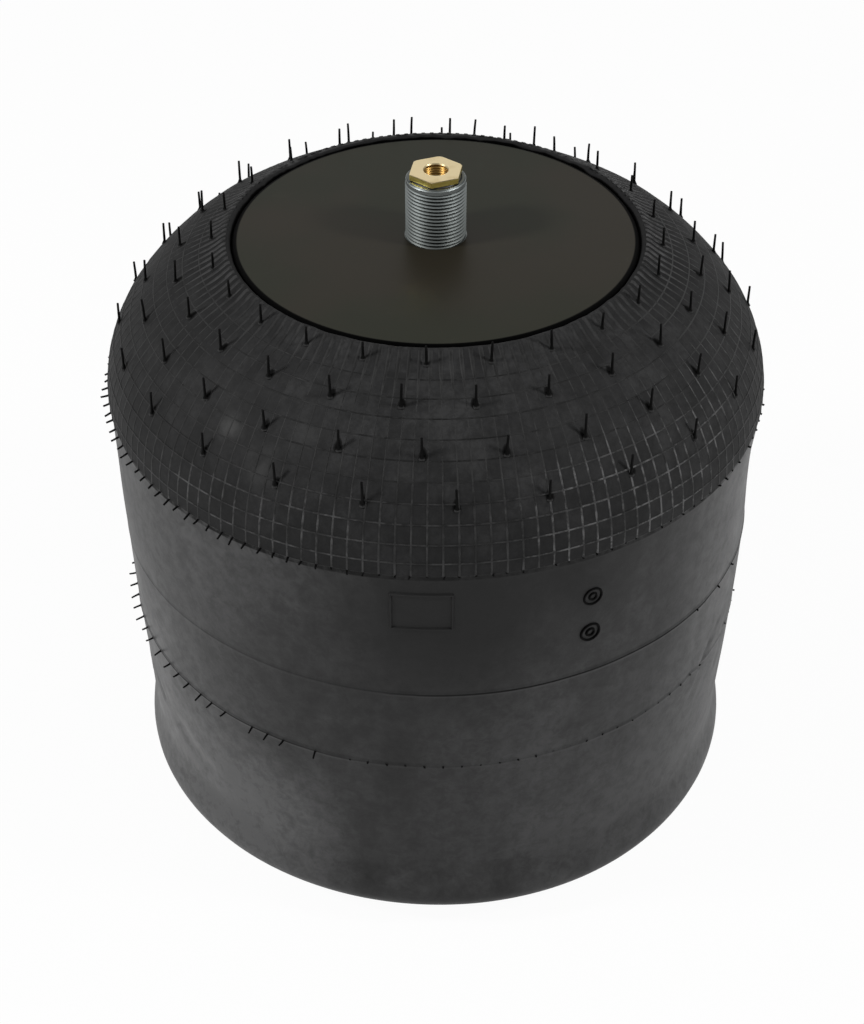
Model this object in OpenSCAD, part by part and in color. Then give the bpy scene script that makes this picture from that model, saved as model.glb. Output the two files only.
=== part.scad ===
// Rolling-lobe air suspension spring for a heavy vehicle, standing unpressurised on its piston
// at its lowest height, with the bump stop just under the top plate.
// Millimetres, +Z up. The origin is the centre of the piston's base, on the mounting plane.
// The moving end is everything crimped or welded to the bead plate. The bellows is one moulding,
// held here as three sections, because its outer leg rises with the plate, its fold rises half
// as fast and its inner leg stays on the piston.

/* [Bead plate] */
// Height of the bead plate's top face above the base, bump stop closed
plate_z = 261; // [255:1:270]
// Radius of the crimped rim
rim_r = 80.5; // [79:0.5:82]
// Sheet thickness
plate_t = 3; // [2.5:0.25:3.5]
// Depth of the crimp, from the top face to the underside of its lip
rim_h = 13; // [12:0.5:14]

/* [Bellows] */
// Thickness of the cord-reinforced rubber wall
wall_t = 5.5; // [4.5:0.25:6]
// Radius over the shoulder, the widest place
shoulder_r = 134.3; // [130:0.1:140]
// Height of the shoulder's lower edge, where the mould's top section ends
shoulder_edge_z = 197.2; // [190:0.2:200]
// Height of the mould line round the middle
mid_line_z = 137.5; // [120:0.5:160]
// Height of the mould line above the fold
low_line_z = 97.5; // [80:0.5:110]
// Radius over the plain wall, just under the shoulder
wall_r = 133.6; // [130:0.1:136]
// Radius at the neck above the fold
neck_r = 128.6; // [127:0.1:130]
// Height of the neck
neck_z = 38; // [36:1:42]
// Radius over the fold
fold_r = 131.1; // [129:0.1:132]
// Lowest point of the fold above the base
fold_low_z = 10; // [8:0.5:14]

/* [Piston] */
// Height of the piston's deck, where the bellows lies flat
deck_z = 186; // [180:1:188]
// Radius of the straight part
piston_r = 107; // [104:0.5:108]
// Radius of the flared base
piston_base_r = 112.8; // [111:0.1:112.8]
// Sheet thickness
piston_t = 3; // [2.5:0.25:4]
// Radius of the spigot that centres the lower bead
spigot_r = 54; // [50:0.5:56]
// Pitch circle diameter of the base's threaded holes
base_pcd = 120; // [110:1:130]

/* [Fittings] */
// Outside radius of the combined stud and air inlet, M24 x 1.5
stud_r = 12; // [11:0.5:12]
// Length of the stud above the plate
stud_h = 25.5; // [22:0.5:30]
// Width across flats of the inlet bush
bush_af = 19; // [17:1:20]
// Bore radius of the inlet bush, tapped M10 x 1
bush_bore_r = 4.5; // [4:0.1:5]
// Radius of the piston bolt, M16
bolt_r = 8; // [7:0.5:8]

/* [Hidden] */
$fn = 96;

seat = 0.05;        // space left between rubber or steel pieces that press on each other
roll_gap = 0.3;     // space between the piston and the rubber that rolls on it
slope_step = 4;     // spacing of the points down a curved wall

// bead plate and its crimp
rim_edge = 2.2;                                               // radius of the upper edge
rim_top = [rim_r - rim_edge, plate_z - rim_edge];             // its centre
rim_round = 4;                                                // radius of the crimp's lower bend
rim_low = [rim_r - rim_round, plate_z - rim_h + rim_round];   // its centre
lip_end = [rim_r - 8, plate_z - rim_h + plate_t / 2];         // centre of the lip's round edge
plate_under_z = plate_z - plate_t;
bead_edge = 0.6;                                              // chamfer of the bead's upper edge

// bellows
split_z = neck_z + 6;                       // where the three sections meet
shoulder_round = 52;                        // radius of the shoulder
shoulder_c = [shoulder_r - shoulder_round, shoulder_edge_z + 0.6];
crest_round = 2.2;                          // radius of the turn beside the crimp
crest_gap = 0.5;                            // width of the groove round the crimp
crest_c = [rim_r + crest_gap + crest_round, plate_z - crest_round - 0.1];
fold_round = 9;                             // outside radius of the fold
fold_c = [fold_r - fold_round, fold_low_z + fold_round];
line_rib = 0.5;                             // height of the rib that a mould line leaves
taper_h = 150;                              // the wall narrows over this height above the neck
bead_core_r = 2.2;                          // radius of both bead wire rings

// slope of the cone that touches both the crest and the shoulder
slope_v = shoulder_c - crest_c;
slope_a = atan2(slope_v[1], slope_v[0])
    + acos((crest_round - shoulder_round) / norm(slope_v));
slope_n = [cos(slope_a), sin(slope_a)];

// piston
flare_z = 26;                               // top of the flared base's straight skirt
flare_h = 38;                               // height over which it narrows
deck_round = 16;
deck_c = [piston_r - deck_round, deck_z - deck_round];
spigot_h = 9;
spigot_top_z = deck_z + spigot_h;
bolt_hole_r = bolt_r + 0.5;

// clamp stack on the deck
bead_h = 10;                                // the lower bead's height
bead_out_r = spigot_r + 15;                 // the lower bead's outside radius
clamp_z = deck_z + roll_gap + bead_h + seat;
clamp_t = 4;
clamp_top_z = clamp_z + clamp_t;
seal_t = 1.5;
nut_z = clamp_top_z + seal_t;
nut_h = 14.8;
nut_af = 24;
insert_z = nut_z + nut_h + 0.4;
insert_t = 3;
insert_boss_h = 12;
bolt_top_z = insert_z + insert_t + insert_boss_h - 0.5;

// base of the piston
base_t = 6;
cup_depth = 14;                             // room for the bolt's head and washer
cup_r = 22;
washer_t = 3;
head_h = 9.5;
head_gap = 1.5;                             // the head stays clear of the mounting plane
weld_nut_h = 12;
weld_nut_bore_r = 5.1;
pilot_r = 8;

// inlet
stud_top_z = plate_z + stud_h;
groove_depth = 1.5;
port_seal_round = 1;
bush_shank_r = 8;
bush_flange_z = stud_top_z - groove_depth + 2 * port_seal_round;
bush_flange_t = 2.4;
bush_shank_h = 13.5;
air_way_r = 5;
stud_flange_r = 17;
stud_flange_t = 4;

// Points along an arc, from angle a0 to a1
function arc(c, r, a0, a1, n = 8) =
    [for (i = [0 : n]) let (a = a0 + (a1 - a0) * i / n) c + r * [cos(a), sin(a)]];

// Heights from z0 to z1, evenly spaced
function steps(z0, z1) =
    let (n = max(1, ceil(abs(z1 - z0) / slope_step))) [for (i = [0 : n]) z0 + (z1 - z0) * i / n];

// Smooth change from 1 to 0 as x goes from 0 to 1
function ease(x) = (1 + cos(180 * min(1, max(0, x)))) / 2;

// Outside radius of the bellows' outer leg at height z
function leg_r(z) = z < neck_z
    ? neck_r + (fold_r - neck_r) * ease((z - fold_c[1]) / (neck_z - fold_c[1]))
    : neck_r + (wall_r - neck_r) * sin(90 * min(1, (z - neck_z) / taper_h));

// Outside radius of the piston's side at height z
function piston_side_r(z) = piston_r + (piston_base_r - piston_r) * ease((z - flare_z) / flare_h);

// The small rib where two mould sections meet, from above the line to below it
function mould_line(z) = let (r = leg_r(z))
    [[r, z + 0.9], [r + line_rib, z + 0.3], [r + line_rib, z - 0.3], [r, z - 0.9]];

module revolve(points) {
    rotate_extrude() polygon(points);
}

module ring(r, c) {
    rotate_extrude() translate(c) circle(r = r, $fn = 32);
}

module hexagon(af, h) {
    cylinder(d = af / cos(30), h = h, $fn = 6);
}

// Steel disc whose edge is rolled down and in round the upper bead
module bead_plate() {
    color([0.17, 0.17, 0.15]) revolve(concat(
        [[stud_r + 0.35, plate_z]],
        arc(rim_top, rim_edge, 90, 0),
        arc(rim_low, rim_round, 0, -90),
        arc(lip_end, plate_t / 2, -90, -270),
        arc(rim_low, rim_round - plate_t, -90, 0),
        [[rim_r - plate_t, plate_under_z], [stud_r + 0.35, plate_under_z]]
    ));
}

// Threaded mounting stud, drilled through as the air inlet, with its weld flange under the plate
module combo_stud() {
    color([0.6, 0.62, 0.64]) revolve([
        [air_way_r, plate_under_z - stud_flange_t],
        [stud_flange_r - 0.8, plate_under_z - stud_flange_t],
        [stud_flange_r, plate_under_z - stud_flange_t + 0.8],
        [stud_flange_r, plate_under_z],
        [stud_r + 0.3, plate_under_z],
        [stud_r + 0.3, plate_z],
        [stud_r, plate_z],
        [stud_r, stud_top_z - 1],
        [stud_r - 1, stud_top_z],
        [bush_shank_r + 2 * port_seal_round + 0.15, stud_top_z],
        [bush_shank_r + 2 * port_seal_round + 0.15, stud_top_z - groove_depth],
        [bush_shank_r + seat, stud_top_z - groove_depth],
        [bush_shank_r + seat, bush_flange_z - bush_shank_h - 2],
        [air_way_r, bush_flange_z - bush_shank_h - 5]
    ]);
}

// Fillet weld round the stud's flange
module stud_weld() {
    color([0.3, 0.3, 0.3]) revolve(concat(
        [[stud_flange_r + seat, plate_under_z], [stud_flange_r + 3.6, plate_under_z]],
        arc([stud_flange_r + 4.2, plate_under_z - 4.2], 3.8, 100, 170, 6),
        [[stud_flange_r + seat, plate_under_z - 3.2]]
    ));
}

// Brass hexagon bush that reduces the stud's bore to the air line's thread
module port_bush() {
    flange_top_z = bush_flange_z + bush_flange_t;
    color([0.8, 0.62, 0.3]) difference() {
        union() {
            translate([0, 0, bush_flange_z - bush_shank_h])
                cylinder(r = bush_shank_r, h = bush_shank_h + 0.5);
            intersection() {
                translate([0, 0, bush_flange_z]) rotate([0, 0, 21]) hexagon(bush_af, bush_flange_t);
                revolve([
                    [0, bush_flange_z], [bush_af / 2 + 1.6, bush_flange_z],
                    [bush_af / 2 + 1.6, flange_top_z - 0.3], [bush_af / 2 + 0.9, flange_top_z],
                    [0, flange_top_z]
                ]);
            }
        }
        translate([0, 0, bush_flange_z - bush_shank_h - 1]) cylinder(r = bush_bore_r, h = bush_shank_h + 6);
        translate([0, 0, flange_top_z - 0.5]) cylinder(r1 = bush_bore_r, r2 = bush_bore_r + 0.6, h = 0.6);
    }
}

// O-ring pinched between the bush's flange and the stud's mouth
module port_seal() {
    color([0.05, 0.05, 0.05])
        ring(port_seal_round, [bush_shank_r + port_seal_round + seat, bush_flange_z - port_seal_round]);
}

// Wire ring inside the crimped upper bead
module upper_bead_core() {
    color([0.5, 0.5, 0.5]) ring(bead_core_r, [rim_r - 7.3, plate_under_z - 3.5]);
}

// Outer leg: the bead in the crimp, the turn round the lip, the shoulder and the tapering wall
module bellows_outer_leg() {
    bead_in_r = lip_end[0] - plate_t / 2 - seat - wall_t;
    bead_r = rim_r - plate_t - seat;
    crease_r = rim_low[0] + rim_round + seat + wall_t;
    crease_z = (slope_n * shoulder_c + shoulder_round - wall_t - crease_r * slope_n[0]) / slope_n[1];
    color([0.13, 0.13, 0.13]) difference() {
        revolve(concat(
            [[bead_in_r, plate_under_z - 1], [bead_in_r + 1, plate_under_z - seat],
             [bead_r - bead_edge, plate_under_z - seat], [bead_r, plate_under_z - seat - bead_edge]],
            arc(rim_low, rim_round - plate_t - seat, 0, -90, 4),
            arc(lip_end, plate_t / 2 + seat, 90, 270),
            arc(rim_low, rim_round + seat, -90, 0),
            arc(crest_c, crest_round, 180, slope_a),
            arc(shoulder_c, shoulder_round, slope_a, 0, 14),
            [[shoulder_r, shoulder_edge_z + 0.3], [shoulder_r - 0.3, shoulder_edge_z],
             [leg_r(shoulder_edge_z) + 0.2, shoulder_edge_z - 0.3]],
            [for (z = steps(shoulder_edge_z - 1, mid_line_z + 2)) [leg_r(z), z]],
            mould_line(mid_line_z),
            [for (z = steps(mid_line_z - 2, low_line_z + 2)) [leg_r(z), z]],
            mould_line(low_line_z),
            [for (z = steps(low_line_z - 2, split_z)) [leg_r(z), z]],
            [for (z = steps(split_z, shoulder_c[1] - 3)) [leg_r(z) - wall_t, z]],
            arc(shoulder_c, shoulder_round - wall_t, 0, slope_a, 14),
            [[crease_r, crease_z]],
            arc(rim_low, rim_round + seat + wall_t, 0, -90),
            arc(lip_end, plate_t / 2 + seat + wall_t, -90, -180)
        ));
        ring(bead_core_r, [rim_r - 7.3, plate_under_z - 3.5]);
    }
}

// Fold: the rubber turns in under itself here, and rolls along the piston as the spring moves
module bellows_fold() {
    in_round = fold_round - wall_t;
    color([0.15, 0.15, 0.15]) revolve(concat(
        [for (z = steps(split_z, fold_c[1])) [leg_r(z), z]],
        arc(fold_c, fold_round, 0, -180, 16),
        [for (z = steps(fold_c[1], split_z)) [piston_side_r(z) + roll_gap, z]],
        [for (z = steps(split_z, fold_c[1])) [piston_side_r(z) + roll_gap + wall_t, z]],
        arc(fold_c, in_round, -180, 0, 12),
        [for (z = steps(fold_c[1], split_z)) [leg_r(z) - wall_t, z]]
    ));
}

// Inner leg: up the piston's side, over its shoulder and in along the deck to the lower bead
module bellows_inner_leg() {
    bead_round = 2;
    bead_top_z = deck_z + roll_gap + bead_h;
    color([0.15, 0.15, 0.15]) difference() {
        revolve(concat(
            [for (z = steps(split_z, deck_c[1])) [piston_side_r(z) + roll_gap, z]],
            arc(deck_c, deck_round + roll_gap, 0, 90, 10),
            [[spigot_r + seat, deck_z + roll_gap]],
            arc([spigot_r + seat + bead_round, bead_top_z - bead_round], bead_round, 180, 90, 4),
            arc([bead_out_r - bead_round, bead_top_z - bead_round], bead_round, 90, 0, 4),
            [[bead_out_r, deck_z + roll_gap + wall_t]],
            arc(deck_c, deck_round + roll_gap + wall_t, 90, 0, 12),
            [for (z = steps(deck_c[1], split_z)) [piston_side_r(z) + roll_gap + wall_t, z]]
        ));
        ring(bead_core_r, [spigot_r + 7, deck_z + roll_gap + bead_h / 2]);
    }
}

// Wire ring inside the lower bead
module lower_bead_core() {
    color([0.5, 0.5, 0.5]) ring(bead_core_r, [spigot_r + 7, deck_z + roll_gap + bead_h / 2]);
}

// Pressed cover that holds the lower bead down on the deck
module clamp_plate() {
    in_r = bead_out_r + 0.4;
    color([0.55, 0.55, 0.57]) revolve(concat(
        [[bolt_hole_r, clamp_z], [in_r, clamp_z], [in_r, clamp_z - 3.3], [in_r + 3, clamp_z - 3.3]],
        arc([in_r - 1, clamp_z], clamp_t, 0, 90),
        [[bolt_hole_r, clamp_top_z]]
    ));
}

// Soft copper washer that seals the bolt's hole
module nut_seal() {
    color([0.75, 0.45, 0.25]) translate([0, 0, clamp_top_z]) difference() {
        cylinder(r = 17, h = seal_t);
        translate([0, 0, -1]) cylinder(r = bolt_hole_r, h = seal_t + 2);
    }
}

// M16 nut on the piston bolt
module clamp_nut() {
    color([0.6, 0.6, 0.6]) translate([0, 0, nut_z]) difference() {
        intersection() {
            hexagon(nut_af, nut_h);
            revolve([
                [0, 0], [nut_af / 2 + 0.4, 0], [nut_af / 2 + 2, 0.9], [nut_af / 2 + 2, nut_h - 0.9],
                [nut_af / 2 + 0.4, nut_h], [0, nut_h]
            ]);
        }
        translate([0, 0, -1]) cylinder(r = bolt_r + seat, h = nut_h + 2);
    }
}

// Ribbed rubber bump stop, hollow at the top to clear the stud's flange
module bumper() {
    foot_r = 47;
    top_r = 37;
    top_z = plate_under_z - 0.4;
    waves = 2.5;                 // two grooves and a rounded top ring
    wave_depth = 3.4;
    nut_room_r = 21;
    well_r = 22;
    boss_r = 12.5;
    h = top_z - clamp_top_z;
    edge = 4;
    color([0.1, 0.1, 0.11]) revolve(concat(
        [[nut_room_r, clamp_top_z], [foot_r - 1, clamp_top_z]],
        [for (i = [0 : 40]) let (x = i / 40, z = clamp_top_z + 1 + x * (h - edge - 1))
            [foot_r + (top_r - foot_r) * x - wave_depth * (1 - cos(360 * waves * x)) / 2, z]],
        arc([top_r - wave_depth - edge, top_z - edge], edge, 0, 90, 6),
        [[well_r + 2, top_z], [well_r, top_z - 2], [well_r, insert_z + insert_t + insert_boss_h + 8],
         [boss_r, insert_z + insert_t + insert_boss_h], [boss_r, insert_z + insert_t],
         [36, insert_z + insert_t], [36, insert_z], [nut_room_r, insert_z]]
    ));
}

// Steel disc and threaded boss moulded into the bumper, screwed on the end of the piston bolt
module bumper_insert() {
    color([0.55, 0.55, 0.57]) revolve([
        [bolt_r + seat, insert_z], [36, insert_z], [36, insert_z + insert_t], [12.5, insert_z + insert_t],
        [12.5, insert_z + insert_t + insert_boss_h], [bolt_r + seat, insert_z + insert_t + insert_boss_h]
    ]);
}

// Deep-drawn steel piston that the inner leg rolls on
module piston_shell() {
    corner = 2.5;
    color([0.12, 0.12, 0.12]) revolve(concat(
        [[piston_base_r, 0]],
        [for (z = steps(flare_z, deck_c[1])) [piston_side_r(z), z]],
        arc(deck_c, deck_round, 0, 90, 10),
        [[spigot_r, deck_z]],
        arc([spigot_r - corner, spigot_top_z - corner], corner, 0, 90, 4),
        [[bolt_hole_r, spigot_top_z], [bolt_hole_r, spigot_top_z - piston_t],
         [spigot_r - piston_t, spigot_top_z - piston_t], [spigot_r - piston_t, deck_z - piston_t]],
        arc(deck_c, deck_round - piston_t, 90, 0, 10),
        [for (z = steps(deck_c[1], flare_z)) [piston_side_r(z) - piston_t, z]],
        [[piston_base_r - piston_t, 0]]
    ));
}

// Places its children at the four threaded holes
module at_base_holes() {
    for (i = [0 : 3]) rotate([0, 0, 45 + 90 * i]) translate([base_pcd / 2, 0, 0]) children();
}

// Welded floor of the piston, with four nut holes and four drain holes
module piston_base_plate() {
    color([0.12, 0.12, 0.12]) difference() {
        cylinder(r = piston_base_r - piston_t - seat, h = base_t);
        translate([0, 0, -1]) cylinder(r = cup_r + seat, h = base_t + 2);
        translate([0, 0, -1]) at_base_holes() cylinder(r = pilot_r + seat, h = base_t + 2);
        for (i = [0 : 3]) rotate([0, 0, 45 + 90 * i])
            translate([88, 0, -1]) cylinder(r = 5, h = base_t + 2);
    }
}

// Pressed cup in the floor that takes the bolt's head
module bolt_cup() {
    color([0.12, 0.12, 0.12]) revolve([
        [cup_r - 3, 0], [cup_r, 0], [cup_r, cup_depth + 4], [bolt_hole_r, cup_depth + 4],
        [bolt_hole_r, cup_depth], [cup_r - 3, cup_depth]
    ]);
}

// Column that carries the bolt's clamping force from the cup to the spigot
module centre_tube() {
    color([0.3, 0.3, 0.3]) translate([0, 0, cup_depth + 4]) difference() {
        cylinder(r = cup_r, h = spigot_top_z - piston_t - cup_depth - 4);
        translate([0, 0, -1]) cylinder(r = cup_r - 5, h = spigot_top_z);
    }
}

// M16 hexagon bolt that draws the clamp plate down on the lower bead
module piston_bolt() {
    shank_z = head_gap + head_h;
    color([0.6, 0.6, 0.6]) {
        intersection() {
            translate([0, 0, head_gap]) hexagon(nut_af, head_h);
            revolve([
                [0, head_gap], [nut_af / 2 - 0.4, head_gap], [nut_af / 2 + 2, head_gap + 1.2],
                [nut_af / 2 + 2, shank_z], [0, shank_z]
            ]);
        }
        revolve([
            [0, shank_z - 1], [bolt_r, shank_z - 1], [bolt_r, bolt_top_z - 1.5],
            [bolt_r - 1.5, bolt_top_z], [0, bolt_top_z]
        ]);
    }
}

// Hardened washer under the bolt's head
module bolt_washer() {
    color([0.65, 0.65, 0.6]) translate([0, 0, cup_depth - washer_t]) difference() {
        cylinder(r = 15, h = washer_t);
        translate([0, 0, -1]) cylinder(r = bolt_hole_r, h = washer_t + 2);
    }
}

// Four M12 weld nuts, their pilots flush with the mounting plane
module base_weld_nuts() {
    color([0.3, 0.3, 0.3]) at_base_holes() difference() {
        union() {
            cylinder(r = pilot_r, h = base_t + 1);
            translate([0, 0, base_t]) hexagon(19, weld_nut_h);
        }
        translate([0, 0, -1]) cylinder(r = weld_nut_bore_r, h = base_t + weld_nut_h + 2);
    }
}

// Four welded gussets between the column, the floor and the piston's side
module gusset_ribs() {
    rib_t = 4;
    rib_top_z = 92;
    in_r = cup_r + 0.2;
    out_r = piston_r - piston_t - 0.5;
    color([0.2, 0.2, 0.2]) for (i = [0 : 3]) rotate([0, 0, 90 * i])
        translate([0, rib_t / 2, 0]) rotate([90, 0, 0]) linear_extrude(rib_t) polygon(concat(
            [[in_r, base_t], [out_r, base_t], [out_r, rib_top_z - 30]],
            arc([out_r, rib_top_z + 10], 40, -90, -170, 10),
            [[in_r, rib_top_z + 20]]
        ));
}

bead_plate();
combo_stud();
stud_weld();
port_bush();
port_seal();
upper_bead_core();
bellows_outer_leg();
bellows_fold();
bellows_inner_leg();
lower_bead_core();
clamp_plate();
nut_seal();
clamp_nut();
bumper();
bumper_insert();
piston_shell();
piston_base_plate();
bolt_cup();
centre_tube();
piston_bolt();
bolt_washer();
base_weld_nuts();
gusset_ribs();
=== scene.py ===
"""Dresses a rolling-lobe air spring, standing unpressurised on its piston."""

import math

import bmesh
import bpy
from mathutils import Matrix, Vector, noise


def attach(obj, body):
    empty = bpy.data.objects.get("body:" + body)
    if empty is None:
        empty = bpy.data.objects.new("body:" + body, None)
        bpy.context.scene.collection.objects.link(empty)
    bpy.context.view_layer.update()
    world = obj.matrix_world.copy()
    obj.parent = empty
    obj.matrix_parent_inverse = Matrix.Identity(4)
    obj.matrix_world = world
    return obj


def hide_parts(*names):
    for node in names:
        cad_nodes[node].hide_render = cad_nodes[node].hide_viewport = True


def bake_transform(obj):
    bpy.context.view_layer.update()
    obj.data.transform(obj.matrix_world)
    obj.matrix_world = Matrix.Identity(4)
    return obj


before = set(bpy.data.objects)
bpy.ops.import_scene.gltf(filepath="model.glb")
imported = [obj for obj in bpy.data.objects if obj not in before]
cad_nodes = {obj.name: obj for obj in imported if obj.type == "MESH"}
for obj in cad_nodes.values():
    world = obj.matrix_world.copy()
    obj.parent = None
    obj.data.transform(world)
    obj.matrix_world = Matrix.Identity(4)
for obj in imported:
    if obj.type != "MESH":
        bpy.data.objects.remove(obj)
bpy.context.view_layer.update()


# ---- Camera
# A long lens looks down on the spring from in front.
# The whole of it stands in the frame, with white all round.
def in_scene(name, data):
    """A new object, linked to the scene."""
    thing = bpy.data.objects.new(name, data)
    bpy.context.scene.collection.objects.link(thing)
    return thing


camera_lens = bpy.data.cameras.new("camera")
camera_lens.lens = 69.54
camera_lens.sensor_width = 36
camera_lens.clip_start = 0.01
camera = in_scene("camera", camera_lens)
camera.location = (-0.0015, -0.6798, 0.6581)
camera.rotation_euler = (math.radians(51.70), 0, 0)
bpy.context.scene.camera = camera
bpy.context.scene.view_settings.view_transform = "Standard"


# ---- Studio
# A plain pale floor that keeps the spring's shadow, under a white surround.
# A soft lamp stands high on either side in front, and behind is a white
# wall that only glossy surfaces show.
class Value:
    """A node's output. Python's operators add Math nodes, add() any other."""

    def __init__(self, tree, socket=None):
        self.tree, self.socket = tree, socket

    def add(self, kind, settings=None, inputs=None, out=0):
        """Adds a node from its type, its settings and its sockets' values."""
        node = self.tree.nodes.new(kind)
        for name, value in (settings or {}).items():
            if name == "stops":
                ramp = node.color_ramp.elements
                while len(ramp) > 1:
                    ramp.remove(ramp[-1])
                for i, (place, colour) in enumerate(value):
                    stop = ramp[0] if i == 0 else ramp.new(place)
                    stop.position, stop.color = place, (*colour, 1)
            else:
                setattr(node, name, value)
        for name, value in (inputs or {}).items():
            if isinstance(value, Value):
                self.tree.links.new(value.socket, node.inputs[name])
            elif value is not None:
                node.inputs[name].default_value = value
        return Value(self.tree, node.outputs[out] if node.outputs else None)

    def out(self, name):
        """Another output of the same node."""
        return Value(self.tree, self.socket.node.outputs[name])

    def axes(self):
        """The X, Y and Z of a vector."""
        x = self.add("ShaderNodeSeparateXYZ", inputs={0: self})
        return x, x.out("Y"), x.out("Z")

    def vector(self, x=None, y=None, z=None):
        """A vector from its parts, each a number or another output."""
        return self.add("ShaderNodeCombineXYZ", inputs={0: x, 1: y, 2: z})

    def math(self, operation, other=None, turned_round=False):
        """One Math node on this output, and on a number or another output."""
        pair = (other, self) if turned_round else (self, other)
        return self.add(
            "ShaderNodeMath", {"operation": operation}, dict(enumerate(pair))
        )

    def __add__(self, other):
        return self.math("ADD", other)

    __radd__ = __add__

    def __sub__(self, other):
        return self.math("SUBTRACT", other)

    def __rsub__(self, other):
        return self.math("SUBTRACT", other, True)

    def __mul__(self, other):
        return self.math("MULTIPLY", other)

    __rmul__ = __mul__

    def __truediv__(self, other):
        return self.math("DIVIDE", other)

    def __pow__(self, other):
        return self.math("POWER", other)


def blank_tree(owner):
    """The emptied node tree of a material or world, as a start for add()."""
    owner.use_nodes = True
    owner.node_tree.nodes.clear()
    return Value(owner.node_tree)


def seen_ray(start):
    """1 for the rays that show the background, to the eye or in a gloss."""
    path = start.add("ShaderNodeLightPath", out="Is Camera Ray")
    gloss = path.out("Is Glossy Ray").math(
        "MAXIMUM", path.out("Is Transmission Ray")
    )
    return path, gloss


def between(value, low, high, to_low=0.0, to_high=1.0):
    """Maps low..high to to_low..to_high, clamped and smooth."""
    ends = {"From Min": low, "From Max": high, "To Min": to_low, "To Max": to_high}
    return value.add(
        "ShaderNodeMapRange", {"interpolation_type": "SMOOTHSTEP"}, {"Value": value, **ends}
    )


surround = bpy.data.worlds.new("surround")
bpy.context.scene.world = surround
start = blank_tree(surround)
eye_ray, gloss_ray = seen_ray(start)
_, back, height = start.add("ShaderNodeTexCoord", out="Generated").axes()
white, dome_light, wall_gloss = (1, 1, 1, 1), 0.26, 0.9
wall_side, wall_foot = (0.3, 0.7), (0.25, 0.5)
wall = between(back, *wall_side) * between(height, *wall_foot)
strength = dome_light + gloss_ray * wall * (wall_gloss - dome_light)
strength = strength + eye_ray * (1 - strength)
shine = start.add("ShaderNodeBackground", inputs={"Color": white, "Strength": strength})
start.add("ShaderNodeOutputWorld", inputs={"Surface": shine})

mm = 0.001


def mesh_in_mm(name, spots, faces=()):
    """A mesh from points in mm, kept in metres."""
    mesh = bpy.data.meshes.new(name)
    mesh.from_pydata([tuple(c * mm for c in spot) for spot in spots], [], faces)
    return mesh


floor_half, floor_z, floor_white, floor_glow = 4000, -0.1, 0.86, 0.96
floor_corners = ((-1, -1), (1, -1), (1, 1), (-1, 1))
floor_mesh = mesh_in_mm(
    "floor", [(x * floor_half, y * floor_half, floor_z) for x, y in floor_corners], [(0, 1, 2, 3)]
)
floor = in_scene("floor", floor_mesh)
floor_paint = bpy.data.materials.new("floor_paint")
start = blank_tree(floor_paint)
eye_ray, gloss_ray = seen_ray(start)
seen = eye_ray.math("MAXIMUM", gloss_ray) * floor_glow
matt = start.add("ShaderNodeBsdfDiffuse", inputs={"Color": (*(floor_white,) * 3, 1)})
glow = start.add("ShaderNodeEmission", inputs={"Color": white, "Strength": 1.0})
shader = start.add("ShaderNodeMixShader", inputs={0: seen, 1: matt, 2: glow})
start.add("ShaderNodeOutputMaterial", inputs={"Surface": shader})
floor_mesh.materials.append(floor_paint)

lamp_side, lamp_y, lamp_z, lamp_aim = 0.3, -0.45, 1.35, Vector((0, 0, 0.15))
for name, x, power in (("softbox_left", -1.4, 18.5), ("softbox_right", 1.4, 14.6)):
    lamp = bpy.data.lights.new(name, "AREA")
    lamp.shape, lamp.size, lamp.size_y, lamp.energy = "RECTANGLE", lamp_side, lamp_side, power
    softbox = in_scene(name, lamp)
    softbox.location = (x, lamp_y, lamp_z)
    softbox.rotation_euler = (lamp_aim - softbox.location).to_track_quat("-Z", "Y").to_euler()


# ---- Piston
# Deep-drawn steel cup with a flared foot and a spigot for the lower bead,
# dipped in black paint. The rubber rolls up and down its side.
# An edge that bends by more degrees than this is shaded sharp.
soft_bend = 38


def smoothed(name, node, bend=soft_bend):
    """A CAD piece with its facets joined and shaded as the curves they are."""
    shape = bmesh.new()
    shape.from_mesh(cad_nodes[node].data)
    bmesh.ops.remove_doubles(shape, verts=shape.verts, dist=1e-6)
    mesh = bpy.data.meshes.new(name)
    shape.to_mesh(mesh)
    shape.free()
    return shown(name, mesh, bend)


def shown(name, mesh, bend=soft_bend):
    """Puts a mesh in the scene, smooth but for the edges over an angle."""
    mesh.validate()
    mesh.shade_smooth()
    mesh.set_sharp_from_angle(angle=math.radians(bend))
    return in_scene(name, mesh)


def fit(piece, material, body, slot, *replaced):
    """Gives a finished piece its material and says what it rides on."""
    piece.data.materials.clear()
    piece.data.materials.append(material)
    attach(piece, body)
    if replaced:
        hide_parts(*replaced)


def dressed(name, node, material, body, slot, bend=soft_bend):
    """A CAD piece, smoothed and finished, that stands for its node."""
    fit(smoothed(name, node, bend), material, body, slot, node)


def clouds(at, scale, detail=4.0, rough=0.55, stretch=None, distort=0.0):
    """Soft noise from 0 to 1 about 0.5; stretch is a scale for each axis."""
    if stretch:
        at = at.add("ShaderNodeMapping", inputs={"Vector": at, "Scale": stretch})
    return at.add(
        "ShaderNodeTexNoise",
        inputs={
            "Vector": at, "Scale": scale, "Detail": detail,
            "Roughness": rough, "Distortion": distort,
        },
    )


def tint(mask, under, over):
    """Colour that goes from under to over as the mask goes from 0 to 1: each
    an (r, g, b), one number for a grey, or another node's output."""
    ends = []
    for colour in (under, over):
        colour = (colour,) * 3 if isinstance(colour, float) else colour
        ends.append((*colour, 1) if isinstance(colour, tuple) else colour)
    return mask.add("ShaderNodeMix", {"data_type": "RGBA"}, {0: mask, 6: ends[0], 7: ends[1]}, 2)


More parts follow.
